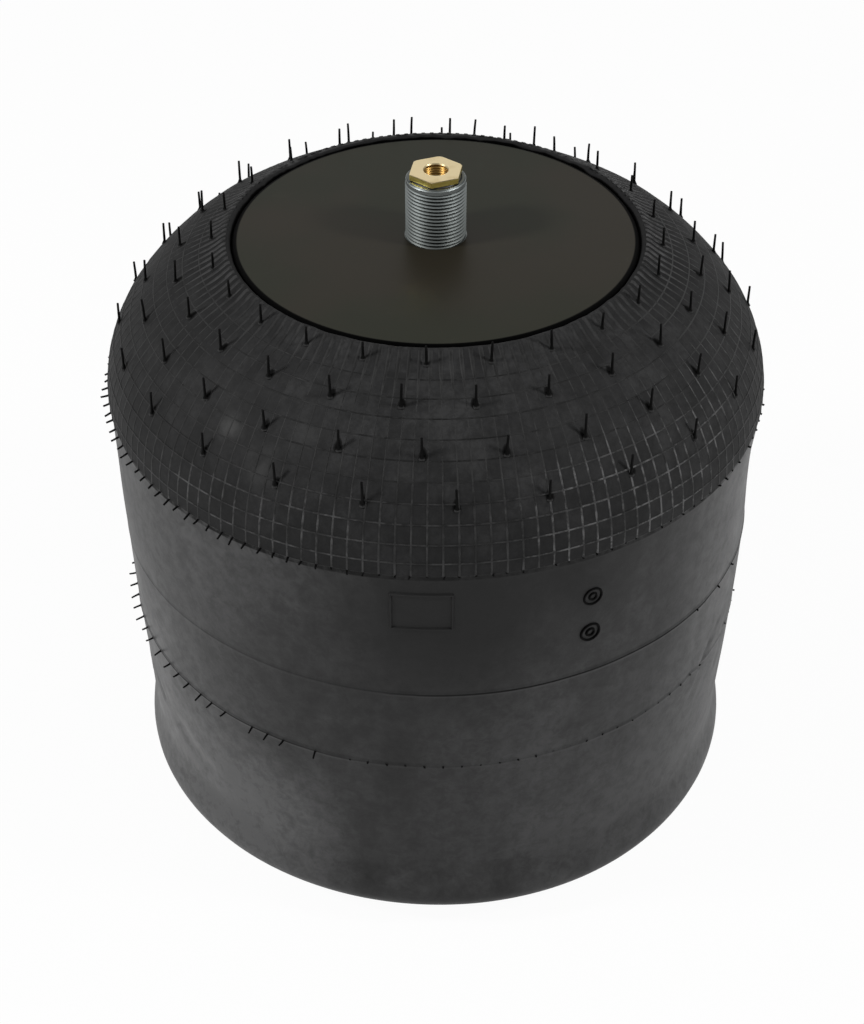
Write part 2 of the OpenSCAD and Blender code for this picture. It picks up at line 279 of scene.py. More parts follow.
def surface(name, finish):
    """A material; finish(place) gives the sockets of its one shader."""
    material = bpy.data.materials.new(name)
    start = blank_tree(material)
    place = start.add("ShaderNodeTexCoord", out="Object")
    shader = start.add("ShaderNodeBsdfPrincipled", inputs=finish(place))
    start.add("ShaderNodeOutputMaterial", inputs={"Surface": shader})
    return material


def grain(height, distance, strength=1.0):
    """Bump from a height of 0..1, so many metres deep."""
    return height.add(
        "ShaderNodeBump", inputs={"Height": height, "Distance": distance, "Strength": strength}
    )


def black_dip(place):
    """Thin black dip paint, with runs, dust and patches scuffed lighter."""
    runs = clouds(place, 60, stretch=(1, 1, 0.12))
    specks = clouds(place, 900, 2)
    rubbed_and_highlit = between(clouds(place, 22, 5), 0.56, 0.72)
    return {
        "Base Color": tint(rubbed_and_highlit, (0.011, 0.011, 0.012), (0.028, 0.028, 0.029)),
        "Roughness": 0.34 + runs * 0.14 + rubbed_and_highlit * 0.12,
        "Normal": grain(specks * 0.5 + runs, 0.00012, 0.6),
        "Specular IOR Level": 0.45,
    }


piston_paint = surface("piston_paint", black_dip)
for name, node in (
    ("piston_drawing", "piston_shell"),
    ("piston_floor", "piston_base_plate"),
    ("piston_cup", "bolt_cup"),
    ("piston_column", "centre_tube"),
    ("piston_gussets", "gusset_ribs"),
):
    dressed(name, node, piston_paint, "piston", "piston_paint")


# ---- Weld nuts
# Four M12 nuts of bare steel, projection welded into the piston's floor
# for the screws from the axle's pedestal. Their threads are cut.
def plain_steel(place):
    """Bare steel with a light scale and the marks of handling."""
    scale_film = clouds(place, 120, 5)
    return {
        "Base Color": tint(scale_film, (0.30, 0.295, 0.285), (0.45, 0.445, 0.43)),
        "Roughness": 0.36 + scale_film * 0.2,
        "Normal": grain(clouds(place, 1500, 2), 0.00005, 0.5),
        "Metallic": 1.0,
    }


cut_bend, thread_bend = 25, 30
bare_steel = surface("bare_steel", plain_steel)
dressed("weld_nuts", "base_weld_nuts", bare_steel, "piston", "bare_steel", cut_bend)


def tree_with(name, inputs):
    """An empty Geometry Nodes tree and its named inputs, with defaults."""
    tree = bpy.data.node_groups.new(name, "GeometryNodeTree")
    tree.interface.new_socket("Geometry", in_out="INPUT", socket_type="NodeSocketGeometry")
    for label, kind in inputs.items():
        tree.interface.new_socket(label, in_out="INPUT", socket_type="NodeSocket" + kind)
    tree.interface.new_socket("Geometry", in_out="OUTPUT", socket_type="NodeSocketGeometry")
    return Value(tree).add("NodeGroupInput")


def close_tree(geometry, material):
    """Ends a tree with real meshes in one material."""
    whole = geometry.add("GeometryNodeRealizeInstances", inputs={0: geometry})
    smooth = whole.add("GeometryNodeSetShadeSmooth", inputs={0: whole})
    painted = smooth.add(
        "GeometryNodeSetMaterial", inputs={"Geometry": smooth, "Material": material}
    )
    painted.add("NodeGroupOutput", inputs={0: painted})
    return painted.tree


def grown(name, mesh, tree, fold_over=None, **values):
    """Runs a tree on a mesh and keeps the result as a plain mesh."""
    seedling = in_scene(name, mesh)
    growth = seedling.modifiers.new("growth", "NODES")
    growth.node_group = tree
    for socket in tree.interface.items_tree:
        key = socket.name.replace(" ", "_").lower()
        if socket.in_out == "INPUT" and key in values:
            growth[socket.identifier] = values.pop(key)
    if values:
        raise ValueError(f"{tree.name} has no input {sorted(values)}")
    result = bpy.data.meshes.new_from_object(
        seedling.evaluated_get(bpy.context.evaluated_depsgraph_get())
    )
    seedling.modifiers.clear()
    seedling.data = result
    if fold_over:
        result.set_sharp_from_angle(angle=math.radians(fold_over))
    return seedling


def screw_tree():
    """A helical ridge at each point: Turns, Pitch, Radius, Depth, Material."""
    sizes = dict.fromkeys(("Turns", "Pitch", "Radius", "Depth"), "Float")
    given = tree_with("screw_thread", {**sizes, "Material": "Material"})
    turns, pitch, radius, depth = (given.out(size) for size in sizes)
    helix = given.add(
        "GeometryNodeCurveSpiral",
        inputs={
            "Resolution": 48, "Rotations": turns, "Height": turns * pitch,
            "Start Radius": radius, "End Radius": radius,
        },
    )
    helix = helix.add("GeometryNodeSetCurveNormal", {"mode": "Z_UP"}, {"Curve": helix})
    ridge = given.add("GeometryNodeCurvePrimitiveCircle", inputs={"Resolution": 4, "Radius": 1.0})
    section = ridge.add(
        "GeometryNodeTransform",
        inputs={"Geometry": ridge, "Scale": given.vector(depth, pitch * 0.5, 1.0)},
    )
    ridges = helix.add(
        "GeometryNodeCurveToMesh",
        inputs={"Curve": helix, "Profile Curve": section, "Fill Caps": True},
    )
    placed = ridges.add(
        "GeometryNodeInstanceOnPoints", inputs={"Points": given, "Instance": ridges}
    )
    return close_tree(placed, given.out("Material"))


def keep(mesh, label, values):
    """Keeps a number or a vector with each point of a mesh."""
    flat = isinstance(values[0], (int, float))
    kind, field = ("FLOAT", "value") if flat else ("FLOAT_VECTOR", "vector")
    layer = mesh.attributes.new(label, kind, "POINT")
    layer.data.foreach_set(field, [v for row in values for v in ([row] if flat else row)])


def places(name, points, **attributes):
    """A mesh of bare points, given in mm, and what is kept with each."""
    mesh = mesh_in_mm(name, points)
    for label, values in attributes.items():
        keep(mesh, label, values)
    return mesh


screw_thread = screw_tree()


def cut_thread(name, feet, material, turns, pitch, radius, depth):
    """A thread that goes up from each foot, with its sizes in mm."""
    return grown(
        name, places(name + "_feet", feet), screw_thread, thread_bend, turns=turns,
        pitch=pitch * mm, radius=radius * mm, depth=depth * mm, material=material,
    )


nut_ring_r, nut_bore_r, nut_pitch, nut_depth, nut_thread_z = 60.0, 5.1, 1.75, 0.55, 1.2
nut_feet = [
    (nut_ring_r * math.cos(a), nut_ring_r * math.sin(a), nut_thread_z)
    for a in (math.radians(45 + 90 * i) for i in range(4))
]
threads = cut_thread(
    "weld_nut_threads", nut_feet, bare_steel, turns=9.0, pitch=nut_pitch,
    radius=nut_bore_r + 0.12, depth=nut_depth,
)
fit(threads, bare_steel, "piston", "bare_steel")


# ---- Piston bolt
# M16 bolt and hard washer, zinc plated, up through the piston's column.
# It holds the clamp plate, the lower bead and the bump stop together.
def zinc_plate(place):
    """Blue-grey zinc: a soft crystal bloom, dulled in patches."""
    bloom = clouds(place, 420, 4, distort=0.4)
    dull = between(clouds(place, 60, 4), 0.42, 0.66)
    return {
        "Base Color": tint(dull, (0.50, 0.53, 0.56), (0.33, 0.36, 0.39)),
        "Roughness": 0.27 + bloom * 0.12 + dull * 0.1,
        "Normal": grain(bloom, 0.00004, 0.6),
        "Metallic": 1.0,
    }


zinc = surface("zinc_plate", zinc_plate)
for name, node in (("bolt_turned", "piston_bolt"), ("bolt_washer_turned", "bolt_washer")):
    dressed(name, node, zinc, "piston", "zinc_steel", cut_bend)


# ---- Lower bead clamp
# Pressed cover that holds the bellows' lower bead on the piston's deck,
# with the wire ring in the bead, a soft copper seal and an M16 nut.
def soft_copper(place):
    """Annealed copper, browned by handling."""
    stain = clouds(place, 150, 4)
    return {
        "Base Color": tint(stain, (0.62, 0.30, 0.18), (0.32, 0.15, 0.09)),
        "Roughness": 0.3 + stain * 0.2,
        "Metallic": 1.0,
    }


dressed("clamp_cover", "clamp_plate", zinc, "piston", "zinc_steel")
dressed("clamp_nut_cut", "clamp_nut", zinc, "piston", "zinc_steel", cut_bend)
copper = surface("soft_copper", soft_copper)
dressed("copper_seal", "nut_seal", copper, "piston", "copper", cut_bend)
dressed("lower_wire", "lower_bead_core", bare_steel, "piston", "bare_steel")


# ---- Bump stop
# Ribbed block of hard rubber, moulded round a steel disc with a threaded
# boss that screws on the end of the piston bolt.
def stop_rubber(place):
    """Moulded black rubber with a light bloom."""
    bloom = clouds(place, 45, 5)
    return {
        "Base Color": tint(bloom, (0.012, 0.012, 0.013), (0.035, 0.035, 0.037)),
        "Roughness": 0.5 + bloom * 0.2,
        "Normal": grain(clouds(place, 1400, 2), 0.00006, 0.5),
        "Specular IOR Level": 0.4,
    }


bumper_rubber = surface("bumper_rubber", stop_rubber)
dressed("bump_stop", "bumper", bumper_rubber, "piston", "bumper_rubber", bend=50)
dressed("bump_stop_disc", "bumper_insert", zinc, "piston", "zinc_steel")


# ---- Bellows
# One moulding of black rubber over two layers of cord: outer leg, fold and
# inner leg. The halves meet at the fold's lowest line and stretch there.
rim_r, rim_h, rim_round, lip_in, plate_t, plate_z = 80.5, 13.0, 4.0, 8.0, 3.0, 261.0
wall_t, seat, roll_gap = 5.5, 0.05, 0.3
shoulder_r, shoulder_edge_z, shoulder_round, edge_round = 134.3, 197.2, 52.0, 0.3
mid_line_z, low_line_z, seam_rise = 137.5, 97.5, 0.5
wall_r, neck_r, neck_z, taper_h = 133.6, 128.6, 38.0, 150.0
fold_r, fold_low_z, fold_round = 131.1, 10.0, 9.0
crest_round, crest_gap, slope_fuller, slope_across = 2.2, 0.5, 2.4, 41.0
bellows_turns, inner_turns, row_gap, back_gap = 240, 192, 2.6, 3.2
shoulder_c = (shoulder_r - shoulder_round, shoulder_edge_z + 0.6)
crest_c = (rim_r + crest_gap + crest_round, plate_z - crest_round - 0.1)
fold_c = (fold_r - fold_round, fold_low_z + fold_round)
rim_low = (rim_r - rim_round, plate_z - rim_h + rim_round)
lip_end = (rim_r - lip_in, plate_z - rim_h + plate_t / 2)
plate_under_z = plate_z - plate_t
# Between the crest's arc and the shoulder's the slope starts out straight:
# the angle of its normal, and that normal.
slope_run = (shoulder_c[0] - crest_c[0], shoulder_c[1] - crest_c[1])
slope_a = math.degrees(
    math.atan2(slope_run[1], slope_run[0])
    + math.acos((crest_round - shoulder_round) / math.hypot(*slope_run))
)
slope_n = (math.cos(math.radians(slope_a)), math.sin(math.radians(slope_a)))


def ease(x):
    """Smooth change from 1 to 0 as x goes from 0 to 1."""
    return (1 + math.cos(math.pi * min(1, max(0, x)))) / 2


def leg_r(z):
    """Outside radius of the outer leg at a height."""
    if z < neck_z:
        return neck_r + (fold_r - neck_r) * ease((z - fold_c[1]) / (neck_z - fold_c[1]))
    return neck_r + (wall_r - neck_r) * math.sin(math.pi / 2 * min(1, (z - neck_z) / taper_h))


def arc(centre, radius, first, last, parts=8):
    """Points on an arc, angles in degrees."""
    angles = [math.radians(first + (last - first) * i / parts) for i in range(parts + 1)]
    return [(centre[0] + radius * math.cos(a), centre[1] + radius * math.sin(a)) for a in angles]


def wall_points(radius_at, first, last, off=0.0, gap=row_gap):
    """Points up or down a wall, so far off its radius at each height."""
    parts = max(1, math.ceil(abs(last - first) / gap))
    rows = [first + (last - first) * i / parts for i in range(parts + 1)]
    return [(radius_at(z) + off, z) for z in rows]


def turned(name, outlines, turns, closed=True, shape=None, bend=soft_bend):
    """Round piece from outlines in mm, each run anticlockwise. shape(r, z,
    angle) may move a point; a closed outline joins its ends."""
    spots, faces = [], []
    for outline in outlines:
        first, rows = len(spots), len(outline)
        for i in range(turns):
            angle = 2 * math.pi * i / turns
            for r, z in outline:
                if shape:
                    r, z = shape(r, z, angle)
                spots.append((r * math.cos(angle), r * math.sin(angle), z))
        for i in range(turns):
            here, there = first + i * rows, first + (i + 1) % turns * rows
            for j in range(rows if closed else rows - 1):
                k = (j + 1) % rows
                faces.append((here + j, there + j, there + k, here + k))
    return shown(name, mesh_in_mm(name, spots, faces), bend)


def tidy_outline(points, apart=0.02):
    """Drops points that repeat the one before."""
    kept = [points[0]]
    for p in points[1:]:
        if math.dist(p, kept[-1]) > apart:
            kept.append(p)
    return kept


def fuller(points):
    """The unloaded slope stands fuller than a straight line below the rim."""
    moved = []
    for r, z in points:
        share = (r - crest_c[0]) / slope_across
        if 0 < share < 1:
            off = (r - shoulder_c[0], z - shoulder_c[1])
            steep = math.degrees(math.atan2(off[1], off[0])) < slope_a
            n = [c / math.hypot(*off) for c in off] if steep else slope_n
            out = slope_fuller * math.sin(math.pi * share) ** 2
            r, z = r + n[0] * out, z + n[1] * out
        moved.append((r, z))
    return moved


def seam(z):
    """The small rib where two sections of the mould meet."""
    r = leg_r(z)
    return [(r, z + 1.0), (r + seam_rise, z + 0.35), (r + seam_rise, z - 0.35), (r, z - 1.0)]


cone_from = arc(crest_c, crest_round, 180, slope_a, 7)[-1]
cone_to = arc(shoulder_c, shoulder_round, slope_a, 0, 14)[0]
cone_parts = 12
cone = [
    tuple(a + (b - a) * i / cone_parts for a, b in zip(cone_from, cone_to))
    for i in range(1, cone_parts)
]
outer_face = tidy_outline(
    arc(lip_end, plate_t / 2 + seat, 90, 270)
    + arc(rim_low, rim_round + seat, -90, 0)
    + fuller(
        arc(crest_c, crest_round, 180, slope_a, 7)
        + cone
        + arc(shoulder_c, shoulder_round, slope_a, 0, 20)
    )
    + [(shoulder_r, shoulder_edge_z + edge_round), (shoulder_r - edge_round, shoulder_edge_z)]
    + [(leg_r(shoulder_edge_z) + 0.2, shoulder_edge_z - edge_round)]
    + wall_points(leg_r, shoulder_edge_z - 1, mid_line_z + 2)
    + seam(mid_line_z)
    + wall_points(leg_r, mid_line_z - 2, low_line_z + 2)
    + seam(low_line_z)
    + wall_points(leg_r, low_line_z - 2, fold_c[1])
    + arc(fold_c, fold_round, 0, -90, 8)
)
# Inside, the back of the slope runs on to a crease above the crimped edge,
# and the bead fills the crimp.
crease_r = rim_low[0] + rim_round + seat + wall_t
crease_z = (
    slope_n[0] * shoulder_c[0] + slope_n[1] * shoulder_c[1] + shoulder_round - wall_t
    - crease_r * slope_n[0]
) / slope_n[1]
bead_r, bead_edge = rim_r - plate_t - seat, 0.6
bead_in_r = lip_end[0] - plate_t / 2 - seat - wall_t
outer_back = tidy_outline(
    arc(fold_c, fold_round - wall_t, -90, 0, 5)
    + wall_points(leg_r, fold_c[1], shoulder_c[1] - 3, -wall_t, back_gap)
    + arc(shoulder_c, shoulder_round - wall_t, 0, slope_a, 10)
    + [(crease_r, crease_z)]
    + arc(rim_low, rim_round + seat + wall_t, 0, -90, 5)
    + arc(lip_end, plate_t / 2 + seat + wall_t, -90, -180, 5)
    + [(bead_in_r, plate_under_z - 1), (bead_in_r + 1, plate_under_z - seat)]
    + [(bead_r - bead_edge, plate_under_z - seat), (bead_r, plate_under_z - seat - bead_edge)]
    + arc(rim_low, rim_round - plate_t - seat, 0, -90, 3)
)

# Where the slack rubber has creased in its packing: azimuth and height of
# both ends, then half width and depth.
creases = (
    (-71, 71, -65, 63, 2.4, 0.7),
    (-84, 60, -74, 52, 4.0, 0.7),
    (-58, 60, -48, 50, 5.0, 0.4),
    (-49.5, 85, -43, 83, 1.6, 0.35),
    (53, 133, 53.5, 92, 2.6, 0.55),
    (62.8, 113, 56.5, 95, 1.5, 0.5),
    (60, 108, 55, 82, 2.4, 0.35),
    (71, 118, 66, 84, 3.2, 0.5),
    (118, 120, 124, 84, 4.0, 0.7),
    (-150, 70, -128, 64, 5.0, 0.7),
)
# Where it stands fuller or hollower than round: azimuth and its spread,
# height and its spread, and how far.
swells = ((24, 34, 18, 15, 1.3), (88, 20, 170, 26, -1.9))
slack_r, slack_low_z, slack_top_z, waves_low_z = 122.2, 10, 192, 12
crest_reach, crest_in, crest_up, torn_in, torn_up = 6.0, 0.4, 0.8, 0.3, 0.55


def lifted(r, z, torn=0.0):
    """The crest stands up against the rim, a little proud of the plate."""
    if not (rim_r < r < crest_c[0] + crest_reach and z > crest_c[1] - crest_reach):
        return r, z
    lift = ease((r - crest_c[0]) / crest_reach) * ease((crest_c[1] - 1 - z) / (crest_reach - 1))
    return r - lift * (crest_in + torn_in * torn), z + lift * (crest_up + torn_up * torn)


def slack(r, z, angle):
    """Unloaded rubber: a torn crest, faint waves, the creases of its packing,
    a fuller fold on one side, and mould lines that come and go."""
    az = (math.degrees(angle) + 90 + 180) % 360 - 180
    x, y = math.cos(angle), math.sin(angle)
    if z > crest_c[1] - crest_reach:
        torn = noise.noise(Vector((x * 9, y * 9, 3.0)))
        torn += 0.7 * noise.noise(Vector((x * 31, y * 31, z * 0.4)))
        return lifted(r, z, torn * (0.35 + 0.65 * abs(az) / 180) * (r < crest_c[0] + 0.3))
    if r < slack_r or not slack_low_z < z < slack_top_z:
        return r, z
    swell = 0
    for az_mid, az_half, z_mid, z_half, reach in swells:
        off = ((az - az_mid) / az_half) ** 2 + ((z - z_mid) / z_half) ** 2
        swell += reach * math.exp(-off) * min(1, (r - slack_r) / 6, (slack_top_z - z) / 8)
    if z < waves_low_z:
        return r + swell, z
    at = Vector((x * 2.6, y * 2.6, z * 0.011))
    fade = min(1, (slack_top_z - z) / 20) * min(1, (z - waves_low_z) / 25)
    push = 0.55 * noise.noise(at) + 0.25 * noise.noise(at * 3.1)
    for az_a, z_a, az_b, z_b, half, depth in creases:
        scale = math.radians(1) * r
        run = Vector(((az_b - az_a) * scale, z_b - z_a))
        spot = Vector(((az - az_a) * scale, z - z_a))
        share = min(1, max(0, spot.dot(run) / run.length_squared))
        off = (spot - run * share).length / half
        if off < 3:
            groove, lips = math.exp(-off * off), math.exp(-((off - 1.5) ** 2) * 2)
            push -= depth * groove - depth * 0.5 * lips
    if r - leg_r(z) > 0.3 and z > low_line_z - 2:
        low = z < mid_line_z - 2
        faint = 0.6 if low and az > -15 else 0.8 if not low and az < -8 else 0.3
        r -= seam_rise * faint
    return r + push * fade + swell, z


def remember_places(mesh):
    """Keeps each point's place in the mould, which the rubber's pattern
    follows when the bellows rolls."""
    keep(mesh, "moulded_at", [point.co for point in mesh.vertices])


def at_azimuth(r, az, z):
    """A point in mm from a radius, an azimuth from the front and a height."""
    a = math.radians(az - 90)
    return (r * math.cos(a), r * math.sin(a), z)


def band(height, middle, half):
    """1 within half of a height, both in mm, and soft at its ends."""
    off = (height - middle * mm).math("ABSOLUTE")
    return between(off, half * mm, half * 1.8 * mm, 1.0, 0.0)


def patch(place, az, r, z, size, soft=0.1):
    """1 near a point of the bellows given in degrees and mm, 0 beyond size."""
    spot = tuple(c * mm for c in at_azimuth(r, az, z))
    gap = place.add("ShaderNodeVectorMath", {"operation": "DISTANCE"}, {0: place, 1: spot}, 1)
    return between(gap, size * soft * mm, size * mm, 1.0, 0.0)


def from_axis(place):
    """Distance from the spring's axis, in metres as all places in shaders."""
    flat = place.add("ShaderNodeMapping", inputs={"Vector": place, "Scale": (1, 1, 0)})
    return flat.add("ShaderNodeVectorMath", {"operation": "LENGTH"}, {0: flat}, 1)


def wall_rubber(place):
    """Cord rubber off a smooth mould: satin, clouded by a bloom of wax, with
    dark flashlines where the mould's sections met. Painted shade darkens the
    front and a torn band under the shoulder; painted light pales the lower
    left and both far sides."""
    clean, bloomed, pale_wax_and_light, flash_and_shadow_black = 0.0095, (0.047, 0.047, 0.0475), (0.1, 0.1, 0.101), 0.003
    side, _, height = place.axes()
    left = side * -1
    streaks = clouds(place, 24, 5, stretch=(1, 1, 0.3))
    patches = clouds(place, 9, 5, distort=0.8)
    mottle = between(clouds(place, 38, 8, 0.7, distort=0.6), 0.34, 0.7)
    fine = between(clouds(place, 170, 6, 0.72, distort=0.3), 0.3, 0.7, 0.64, 1.36)
    # Painted shade: the front is darker than the sides, and a patch high up
    # under the shoulder's front is darker still, with less bloom and dust there.
    front = between(side.math("ABSOLUTE"), 0.0, 0.055, 0.58, 1.0)
    dry_tone_and_painted_shade = 1 - patch(place, 4, 134, 180, 72, 0.15) * 0.9
    bloom = between(streaks * 0.55 + patches * 0.55, 0.4, 0.7) * dry_tone_and_painted_shade
    dust = mottle * (0.3 + bloom * 0.5) * dry_tone_and_painted_shade
    # Painted light: a pale film, mottled like wax, on the lower left, where
    # the floor lights the wall, and painted sheen towards both far sides.
    painted_light_patches = patch(place, -40, 130, 52, 62) + patch(place, -74, 130, 95, 75)
    wax_film_and_painted_light = painted_light_patches * (0.38 + between(patches, 0.3, 0.65) * 0.5 + mottle * 0.35)
    wax_film_and_painted_light = wax_film_and_painted_light + between(left, 0.03, 0.115) * 0.76 + between(side, 0.08, 0.128) * 1.5
    wax_film_and_painted_light = wax_film_and_painted_light + between(height, 0.04, 0.1, 0.65, 0.0) * between(left, 0.01, 0.07)
    # Dark flash on the two lines, and under the shoulder's edge a torn band
    # of painted shadow.
    torn = between(clouds(place, 120, 5, 0.7), 0.38, 0.56, 0.4, 1.0)
    flash_and_ledge_shadow = band(height, mid_line_z, 0.3) * between(side, -0.035, 0.01, 0.35, 1.0)
    flash_and_ledge_shadow = flash_and_ledge_shadow + band(height, low_line_z, 0.25) * between(side, -0.07, -0.02, 0.8, 0.15)
    flash_and_ledge_shadow = flash_and_ledge_shadow + band(height, shoulder_edge_z - 1.1, 0.9) * torn
    rubber = tint(bloom * fine * front, clean, bloomed)
    rubber = tint((dust * 0.5 + wax_film_and_painted_light * 0.5) * fine * front, rubber, pale_wax_and_light)
    return {
        "Base Color": tint(flash_and_ledge_shadow, rubber, flash_and_shadow_black),
        "Roughness": 0.4 + bloom * 0.12 + mottle * 0.12 + flash_and_ledge_shadow * 0.2,
        "Normal": grain(clouds(place, 800, 4, 0.6) * 0.4 + clouds(place, 150, 4), 0.0002, 0.5),
        "Specular IOR Level": 0.17,
    }


rib_count, rib_first_az, ring_gap = 144, 1.1, 7.66


def engraved(place):
    """Tone of the engraved squares: each has its own, and fine streaks run
    down the slope over them. From 0 to 1 about 0.5."""
    x, y, z = place.axes()
    reach = (x * x + y * y) ** 0.5
    turn = x.math("ARCTAN2", y * -1) * (180 / math.pi) - rib_first_az
    column = (turn * (rib_count / 360)).math("FLOOR").math("FLOORED_MODULO", rib_count)
    lean = (z - shoulder_c[1] * mm).math("ARCTAN2", reach - shoulder_c[0] * mm)
    row = (lean * (shoulder_round / ring_gap) + 0.35).math("FLOOR")
    square = place.add(
        "ShaderNodeTexWhiteNoise",
        {"noise_dimensions": "2D"},
        {"Vector": place.vector(column, row)},
    )
    streaks = clouds(place.vector(x / reach, y / reach, z * 2), 62, 3, 0.7)
    return square * 0.4 + streaks * 0.6


def shoulder_rubber(place):
    """The same rubber off an engraved mould: darker, dull and drier, with a
    few pale smears of release wax. Painted shadow makes it black where it
    goes under the rim, and a painted highlight pales the crest at the back."""
    clean, dusty, rubbed_and_highlit = (0.0066, 0.0066, 0.0068), (0.031, 0.031, 0.0315), 0.075
    pale_wax_and_light, black = (0.085, 0.085, 0.084), 0.002
    side, depth, height = place.axes()
    reach = from_axis(place)
    dry_tone_and_painted_shade = between(clouds(place, 34, 8, 0.7, distort=0.5), 0.4, 0.74)
    fine = between(clouds(place, 230, 7, 0.8, distort=0.3), 0.32, 0.68, 0.45, 1.55)
    low = between(height, 0.2, 0.232, 0.62, 1.0)
    tone = (dry_tone_and_painted_shade * 0.55 + engraved(place) * 0.7) * fine * low
    smear = patch(place, -39, 119.5, 234, 8.5) + patch(place, -31, 125, 227.5, 11) * 0.7
    smear = smear + patch(place, -24.5, 114, 239, 9) * 0.35
    smear = smear * between(clouds(place, 120, 4, 0.6), 0.36, 0.6, 0.25, 1.0)
    # Darker beside and behind the plate, and towards the left.
    shaded = between(reach, 0.09, 0.106, 0.85, 0.0) * between(depth, -0.065, -0.03)
    shaded = shaded.math("MAXIMUM", between(side * -1, 0.015, 0.08) * 0.4)
    # A painted highlight, in patches, on the crest's top at the very back.
    crest = between(reach, 0.0815, 0.0825) * between(reach, 0.084, 0.087, 1.0, 0.0)
    crest = crest * between(depth, 0.035, 0.06)
    rubber = tint(tone * (1 - shaded), clean, dusty)
    rubber = tint(crest * between(clouds(place, 160, 4), 0.4, 0.6) * 0.7, rubber, rubbed_and_highlit)
    rubber = tint(smear * 0.45, rubber, pale_wax_and_light)
    # Painted shadow: black, and metallic so that it shows no gloss, where the rubber goes in
    # under the rim.
    rim_gap_shadow = between(reach, (rim_r + 0.3) * mm, (rim_r + 0.8) * mm, 1.0, 0.0)
    return {
        "Base Color": tint(rim_gap_shadow, rubber, black),
        "Roughness": 0.62 + clouds(place, 20, 6, 0.6, distort=0.5) * 0.2,
        "Metallic": rim_gap_shadow,
        "Normal": grain(clouds(place, 900, 4, 0.6) * 0.5 + clouds(place, 210, 4), 0.0002, 0.6),
        "Specular IOR Level": 0.22,
    }


def two_zones(name, lower, upper, height, soft):
    """A material that changes from one finish to the other at a height."""
    material = bpy.data.materials.new(name)
    start = blank_tree(material)
    place = start.add("ShaderNodeAttribute", {"attribute_name": "moulded_at"}, out="Vector")
    shaders = [start.add("ShaderNodeBsdfPrincipled", inputs=f(place)) for f in (lower, upper)]
    above = between(place.axes()[2], (height - soft) * mm, (height + soft) * mm)
    mixed = start.add("ShaderNodeMixShader", inputs={0: above, 1: shaders[0], 2: shaders[1]})
    start.add("ShaderNodeOutputMaterial", inputs={"Surface": mixed})
    return material


bellows_rubber = two_zones(
    "bellows_rubber", wall_rubber, shoulder_rubber, shoulder_edge_z - 0.2, 0.2
)
bellows_outer = turned(
    "bellows_outer_wall", [(outer_face + outer_back)[::-1]], bellows_turns, shape=slack
)
remember_places(bellows_outer.data)
bellows_outer.data.materials.append(bellows_rubber)
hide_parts("bellows_outer_leg", "bellows_fold")
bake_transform(bellows_outer)

piston_r, piston_base_r, flare_z, flare_h = 107.0, 112.8, 26.0, 38.0
deck_z, deck_round = 186.0, 16.0
deck_c = (piston_r - deck_round, deck_z - deck_round)
spigot_r, bead_out_r, bead_h, bead_round = 54.0, 69.0, 10.0, 2.0
bead_top_z = deck_z + roll_gap + bead_h


def piston_side_r(z):
    """Outside radius of the piston at a height, with its flared foot."""
    return piston_r + (piston_base_r - piston_r) * ease((z - flare_z) / flare_h)


inner_outline = tidy_outline(
    arc(fold_c, fold_round, -90, -180, 8)
    + wall_points(piston_side_r, fold_c[1], deck_c[1], roll_gap)
    + arc(deck_c, deck_round + roll_gap, 0, 90, 10)
    + [(spigot_r + seat, deck_z + roll_gap)]
    + arc((spigot_r + seat + bead_round, bead_top_z - bead_round), bead_round, 180, 90, 4)
    + arc((bead_out_r - bead_round, bead_top_z - bead_round), bead_round, 90, 0, 4)
    + [(bead_out_r, deck_z + roll_gap + wall_t)]
    + arc(deck_c, deck_round + roll_gap + wall_t, 90, 0, 12)
    + wall_points(piston_side_r, deck_c[1], fold_c[1], roll_gap + wall_t)
    + arc(fold_c, fold_round - wall_t, -180, -90, 5)
)
bellows_inner = turned("bellows_inner_wall", [inner_outline[::-1]], inner_turns)
remember_places(bellows_inner.data)
bellows_inner.data.materials.append(bellows_rubber)
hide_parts("bellows_inner_leg", "bellows_fold")
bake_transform(bellows_inner)


# ---- Shoulder grid
# The mould's engraving leaves the shoulder in squares: a fine rib every
# 2.5 degrees down the slope, and rings 7.7 mm apart round it.
ring_first, ring_last, ring_turns, ridge_bend = 7.5, 88, 180, 60
slope = fuller(tidy_outline(
    arc(crest_c, crest_round, 95, slope_a, 3)
    + cone[::2]
    + arc(shoulder_c, shoulder_round, slope_a, 0, 9)
    + [(shoulder_r, shoulder_edge_z + edge_round)]
))
fine_slope = fuller(tidy_outline(
    arc(crest_c, crest_round, 180, slope_a, 24)
    + cone
    + arc(shoulder_c, shoulder_round, slope_a, 0, 60)
    + [(shoulder_r, shoulder_edge_z)]
))


def outward(a, b):
    """The outward normal of a step down the shoulder."""
    size = math.dist(a, b)
    return (-(b[1] - a[1]) / size, (b[0] - a[0]) / size)


def on_slope(distance):
    """Radius, height and normal at a distance down the shoulder."""
    left = distance
    for a, b in zip(fine_slope, fine_slope[1:]):
        size = math.dist(a, b)
        if left <= size:
            r, z = (p + (q - p) * left / size for p, q in zip(a, b))
            return r, z, outward(a, b)
        left -= size
    raise ValueError(distance)


